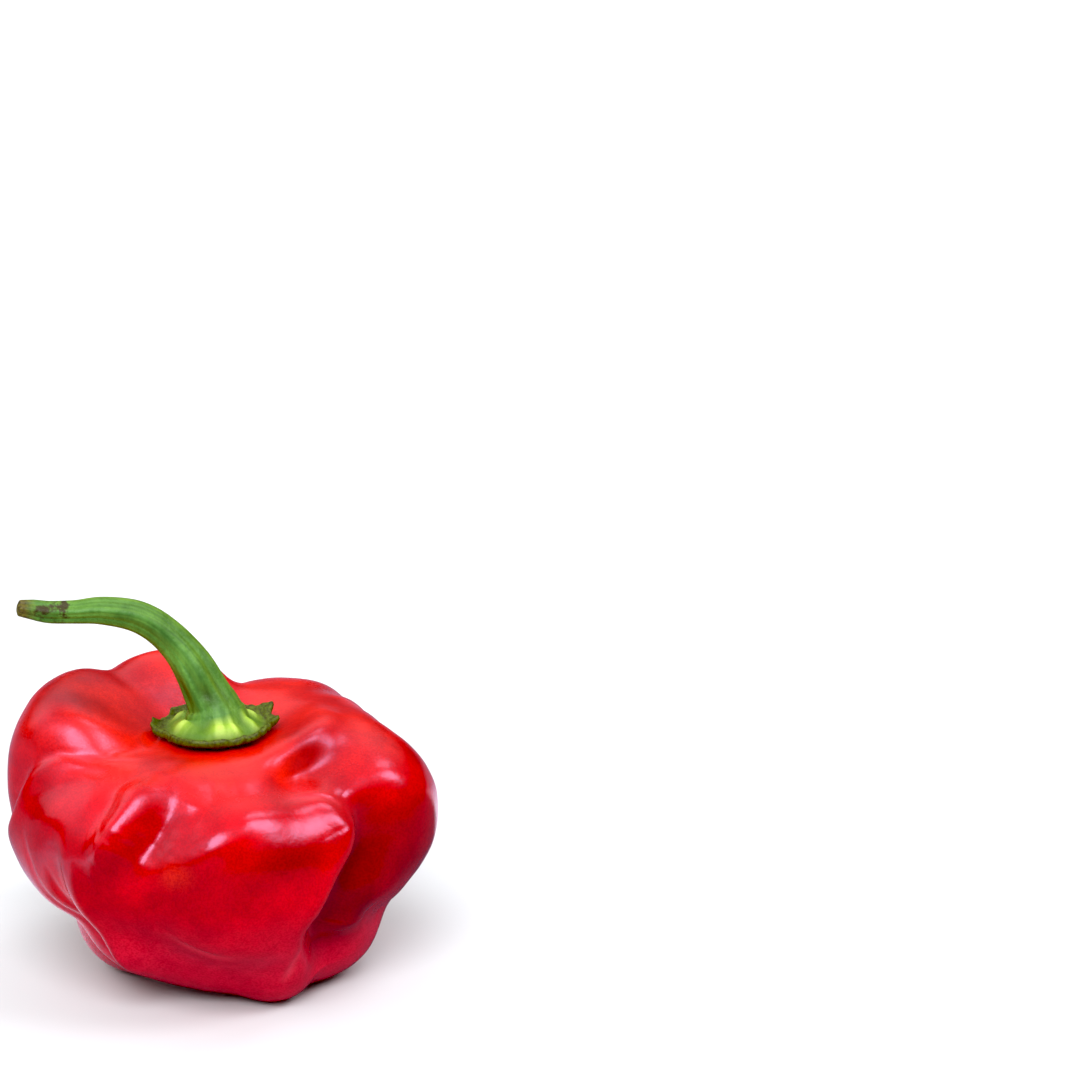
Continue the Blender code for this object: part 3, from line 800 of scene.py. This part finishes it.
class Nodes:
    """Short ways to add shader nodes to a tree and to link them."""

    def __init__(self, tree):
        self.tree = tree

    def put(self, socket, value):
        """Links a socket to another one, or sets its own number or colour."""
        if isinstance(value, bpy.types.NodeSocket):
            self.tree.links.new(value, socket)
        elif isinstance(value, tuple) and len(value) < len(socket.default_value):
            socket.default_value = (*value, 1)
        else:
            socket.default_value = value

    def add(self, kind, inputs=None, **settings):
        """Adds a node and gives back its outputs."""
        made = self.tree.nodes.new("ShaderNode" + kind)
        for setting, value in settings.items():
            setattr(made, setting, value)
        for socket, value in (inputs or {}).items():
            self.put(made.inputs[socket], value)
        return made.outputs

    def mask(self, name):
        """One of the masks that the mesh carries."""
        return self.add("Attribute", attribute_name=name)["Fac"]

    def noise(self, place, scale, detail, roughness=0.5):
        """A cloudy value, this many clouds to a metre."""
        inputs = {"Vector": place, "Scale": scale, "Detail": detail, "Roughness": roughness}
        return self.add("TexNoise", inputs)["Fac"]

    def maths(self, operation, *values):
        """A sum, product or other result of these values."""
        return self.add("Math", dict(enumerate(values)), operation=operation)[0]

    def mix(self, share, first, second, blend="MIX"):
        """The first colour with this share of the second laid over it."""
        return self.add("Mix", {0: share, 6: first, 7: second}, data_type="RGBA", blend_type=blend)[2]

    def ramp(self, value, *stops):
        """The colour that the stops give for a value."""
        outputs = self.add("ValToRGB", {"Fac": value})
        elements = self.tree.nodes[-1].color_ramp.elements
        while len(elements) < len(stops):
            elements.new(0.5)
        for element, (position, colour) in zip(elements, stops):
            element.position = position
            element.color = (*colour, 1)
        return outputs["Color"]


def new_material(name):
    """A material, its Principled shader and its nodes."""
    material = bpy.data.materials.new(name)
    material.use_nodes = True
    return material, material.node_tree.nodes["Principled BSDF"].inputs, Nodes(material.node_tree)


def fruit_skin_material():
    """Glossy red skin, mottled orange, with a small scar; painted top light, shade, floor bounce and crease
    highlights.
    """
    material, shader, nodes = new_material("fruit_skin")
    place = nodes.add("TexCoord")["Object"]
    broad = nodes.noise(place, SKIN_BROAD, detail=3.0)
    blotch = nodes.noise(place, SKIN_BLOTCH, detail=3.0, roughness=0.6)
    fine = nodes.noise(place, SKIN_FINE, detail=4.0, roughness=0.65)
    grain = nodes.noise(place, SKIN_GRAIN, detail=2.0, roughness=0.6)

    # The crown's colour is partly the skin's orange-red tone and partly painted top light.
    colour = nodes.mix(nodes.mask("crown"), nodes.ramp(broad, *FLANK_REDS), nodes.ramp(broad, *CROWN_REDS_AND_TOP_LIGHT))
    # Painted floor bounce light low on the fruit.
    colour = nodes.mix(nodes.mask("foot"), colour, FLOOR_BOUNCE_PINK)
    # Painted shade laid over the skin's colour.
    colour = nodes.mix(nodes.mask("deep"), colour, SHADE_RED)
    orange = nodes.maths("MULTIPLY", nodes.mask("orange"), nodes.maths("ADD", ORANGE_LIFT, broad))
    colour = nodes.mix(orange, colour, ORANGE_RED)
    colour = nodes.mix(1.0, colour, nodes.ramp(blotch, *BLOTCH_SHADES), "MULTIPLY")
    colour = nodes.mix(1.0, colour, nodes.ramp(grain, *SPECK_SHADES), "MULTIPLY")
    # Painted highlights along creases and edges.
    colour = nodes.mix(nodes.maths("MULTIPLY", nodes.mask("pale"), HIGHLIGHT_SHARE), colour, HIGHLIGHT_PINK)
    scar = nodes.maths("ADD", nodes.mask("scar"), nodes.maths("MULTIPLY", fine, SCAR_FRAYING))
    colour = nodes.mix(nodes.maths("GREATER_THAN", scar, SCAR_EDGE), colour, SCAR_BROWN)
    nodes.put(shader["Base Color"], colour)

    rough = nodes.maths("MULTIPLY_ADD", nodes.mask("crown"), CROWN_ROUGHNESS, SKIN_ROUGHNESS)
    nodes.put(shader["Roughness"], nodes.maths("MULTIPLY_ADD", fine, FINE_ROUGHNESS, rough))
    nodes.put(shader["IOR"], 1.47)
    nodes.put(shader["Specular Tint"], (1.0, 0.65, 1.0))
    nodes.put(shader["Subsurface Weight"], 0.08)
    nodes.put(shader["Subsurface Radius"], (1.0, 0.12, 0.06))
    nodes.put(shader["Subsurface Scale"], 0.0015)
    height = nodes.maths("MULTIPLY_ADD", grain, 0.25, fine)
    bump = {"Height": height, "Strength": 0.12, "Distance": BUMP_DISTANCE}
    nodes.put(shader["Normal"], nodes.add("Bump", bump)["Normal"])
    return material


def stem_material():
    """Green stem skin in fine streaks: lime bulges, an olive rim, a brown cut end, brown flecks, a painted
    sheen at its edges and painted shade in its hollows.
    """
    material, shader, nodes = new_material("stem_green")
    place = nodes.add("TexCoord")["Object"]
    broad = nodes.noise(place, STEM_BROAD, detail=3.0)
    stretched = {"Vector": place, "Rotation": STEM_GRAIN_TURN, "Scale": STEM_GRAIN}
    grain = nodes.noise(nodes.add("Mapping", stretched)["Vector"], 1.0, detail=3.0, roughness=0.6)
    fine = nodes.noise(place, STEM_FINE, detail=4.0, roughness=0.65)
    streaks = nodes.mask("streaks")

    # Painted sheen: a lighter green where the stem's edges are seen from the side.
    grazing_sheen = nodes.add("LayerWeight", {"Blend": 0.35})["Facing"]
    colour = nodes.mix(grazing_sheen, nodes.ramp(broad, *STEM_GREENS), SHEEN_EDGE_GREEN)
    colour = nodes.mix(1.0, colour, nodes.ramp(streaks, *STREAK_SHADES), "MULTIPLY")
    colour = nodes.mix(1.0, colour, nodes.ramp(grain, *GRAIN_SHADES), "MULTIPLY")
    colour = nodes.mix(nodes.maths("MULTIPLY", nodes.mask("calyx"), CALYX_SHARE), colour, CALYX_GREEN)
    colour = nodes.mix(nodes.mask("lime"), colour, nodes.ramp(streaks, *BULGE_LIMES))
    # Painted shade in the stem's hollows.
    colour = nodes.mix(nodes.maths("MULTIPLY", nodes.mask("mark"), HOLLOW_SHADE_SHARE), colour, HOLLOW_SHADE_GREEN)
    colour = nodes.mix(nodes.mask("rim"), colour, nodes.ramp(fine, *RIM_OLIVES))
    fleck = nodes.noise(place, STEM_FLECK, detail=4.0, roughness=0.7)
    fleck = nodes.maths("MULTIPLY_ADD", nodes.mask("spots"), FLECK_LIFT, fleck)
    colour = nodes.mix(nodes.ramp(fleck, *FLECK_EDGE), colour, FLECK_BROWN)
    colour = nodes.mix(nodes.mask("tip"), colour, nodes.ramp(fine, *TIP_BROWNS))
    nodes.put(shader["Base Color"], colour)

    nodes.put(shader["Roughness"], nodes.maths("MULTIPLY_ADD", fine, STEM_FINE_ROUGHNESS, STEM_ROUGHNESS))
    nodes.put(shader["IOR"], 1.34)
    height = nodes.maths("MULTIPLY_ADD", grain, 2.0, fine)
    bump = {"Height": height, "Strength": 0.4, "Distance": BUMP_DISTANCE}
    nodes.put(shader["Normal"], nodes.add("Bump", bump)["Normal"])
    return material


def add_floor():
    """A plain pale floor, which is dimmer in mirror images than where it is seen itself."""
    material, shader, nodes = new_material("floor_white")
    place = nodes.add("SeparateXYZ", {"Vector": nodes.add("TexCoord")["Object"]})
    sideways = nodes.maths("MULTIPLY", place["X"], FLOOR_BACKWARD[0])
    backward = nodes.maths("MULTIPLY_ADD", place["Y"], FLOOR_BACKWARD[1], sideways)
    stops = [(back / FLOOR_SPAN + 0.5, colour) for back, colour in FLOOR_IN_REFLECTIONS]
    mirrored = nodes.ramp(nodes.maths("MULTIPLY_ADD", backward, 1 / FLOOR_SPAN, 0.5), *stops)
    in_mirror = nodes.add("LightPath")["Is Glossy Ray"]
    nodes.put(shader["Base Color"], nodes.mix(in_mirror, FLOOR_WHITE, mirrored))
    nodes.put(shader["Roughness"], 0.9)
    nodes.put(shader["Specular IOR Level"], 0.1)
    data = bpy.data.meshes.new("floor")
    corners = [(x * FLOOR_HALF, y * FLOOR_HALF, 0) for x, y in ((-1, -1), (1, -1), (1, 1), (-1, 1))]
    data.from_pydata(corners, [], [(0, 1, 2, 3)])
    data.materials.append(material)
    floor = bpy.data.objects.new("floor", data)
    bpy.context.scene.collection.objects.link(floor)


def add_dome():
    """Soft light from above, fading towards the horizon and to the right."""
    world = bpy.data.worlds.new("studio")
    world.use_nodes = True
    nodes = Nodes(world.node_tree)
    parts = nodes.add("SeparateXYZ", {"Vector": nodes.add("TexCoord")["Generated"]})
    by_height = nodes.ramp(parts["Z"], *[(height, DOME_TINT * level) for height, level in DOME_LEVELS])
    sides = [(side / 2 + 0.5, (level, level, level)) for side, level in DOME_SIDES]
    by_side = nodes.ramp(nodes.maths("MULTIPLY_ADD", parts["X"], 0.5, 0.5), *sides)
    background = world.node_tree.nodes["Background"].inputs["Color"]
    nodes.put(background, nodes.mix(1.0, by_height, by_side, "MULTIPLY"))
    bpy.context.scene.world = world


def add_light(name, azimuth, elevation, width, brightness, colour):
    """A round soft light in this direction, this many degrees across."""
    data = bpy.data.lights.new(name, "SUN")
    data.angle = math.radians(width)
    data.energy = brightness * math.pi * math.sin(data.angle / 2) ** 2
    data.color = colour
    light = bpy.data.objects.new(name, data)
    light.rotation_mode = "QUATERNION"
    light.rotation_quaternion = Vector(unit(azimuth, elevation)).to_track_quat("Z", "Y")
    bpy.context.scene.collection.objects.link(light)


def add_camera(shift):
    """The camera, turned level until the target falls on its pixel."""
    data = bpy.data.cameras.new("camera")
    data.lens = CAMERA_LENS
    data.sensor_width = SENSOR_WIDTH
    data.clip_start = 0.01
    data.clip_end = 30
    camera = bpy.data.objects.new("camera", data)
    bpy.context.scene.collection.objects.link(camera)
    target = Vector((0, 0, TARGET_HEIGHT)) + shift
    back = Vector(unit(-90, CAMERA_ELEVATION))
    focus_pixels = CAMERA_LENS / SENSOR_WIDTH * FRAME_PIXELS
    aim_x = (TARGET_PIXEL[0] - FRAME_PIXELS / 2) / focus_pixels
    aim_y = (FRAME_PIXELS / 2 - TARGET_PIXEL[1]) / focus_pixels
    yaw, pitch = 0.0, -math.radians(CAMERA_ELEVATION)
    for _ in range(AIM_STEPS):
        ahead = Vector((math.sin(yaw) * math.cos(pitch), math.cos(yaw) * math.cos(pitch), math.sin(pitch)))
        right = Vector((math.cos(yaw), -math.sin(yaw), 0))
        up = right.cross(ahead)
        sight = -back
        yaw -= (aim_x - sight.dot(right) / sight.dot(ahead)) / math.cos(pitch)
        pitch -= aim_y - sight.dot(up) / sight.dot(ahead)
    turned = Matrix((right, up, -ahead)).transposed().to_4x4()
    camera.matrix_world = Matrix.Translation(target + back * CAMERA_DISTANCE) @ turned
    bpy.context.scene.camera = camera


fruit_mesh, fruit_places, fruit_masks = fruit_shape()
stem_mesh, stem_places, stem_masks = stem_shape()
both = np.vstack((fruit_places, stem_places))
middle = (both.min(axis=0) + both.max(axis=0)) / 2 * (1, 1, 0)
add_piece("fruit_skin", fruit_mesh, fruit_places - middle, fruit_masks, fruit_skin_material(),
          "fruit")
add_piece("stem_and_calyx", stem_mesh, stem_places - middle, stem_masks, stem_material(),
          "stem_with_calyx")

add_floor()
for light in LIGHTS:
    add_light(*light)
add_dome()
view = bpy.context.scene.view_settings
view.view_transform = "Standard"
view.use_curve_mapping = True
view.curve_mapping.black_level = (BLACK_LEVEL,) * 3
view.curve_mapping.update()
add_camera(Vector(-middle * METRES))
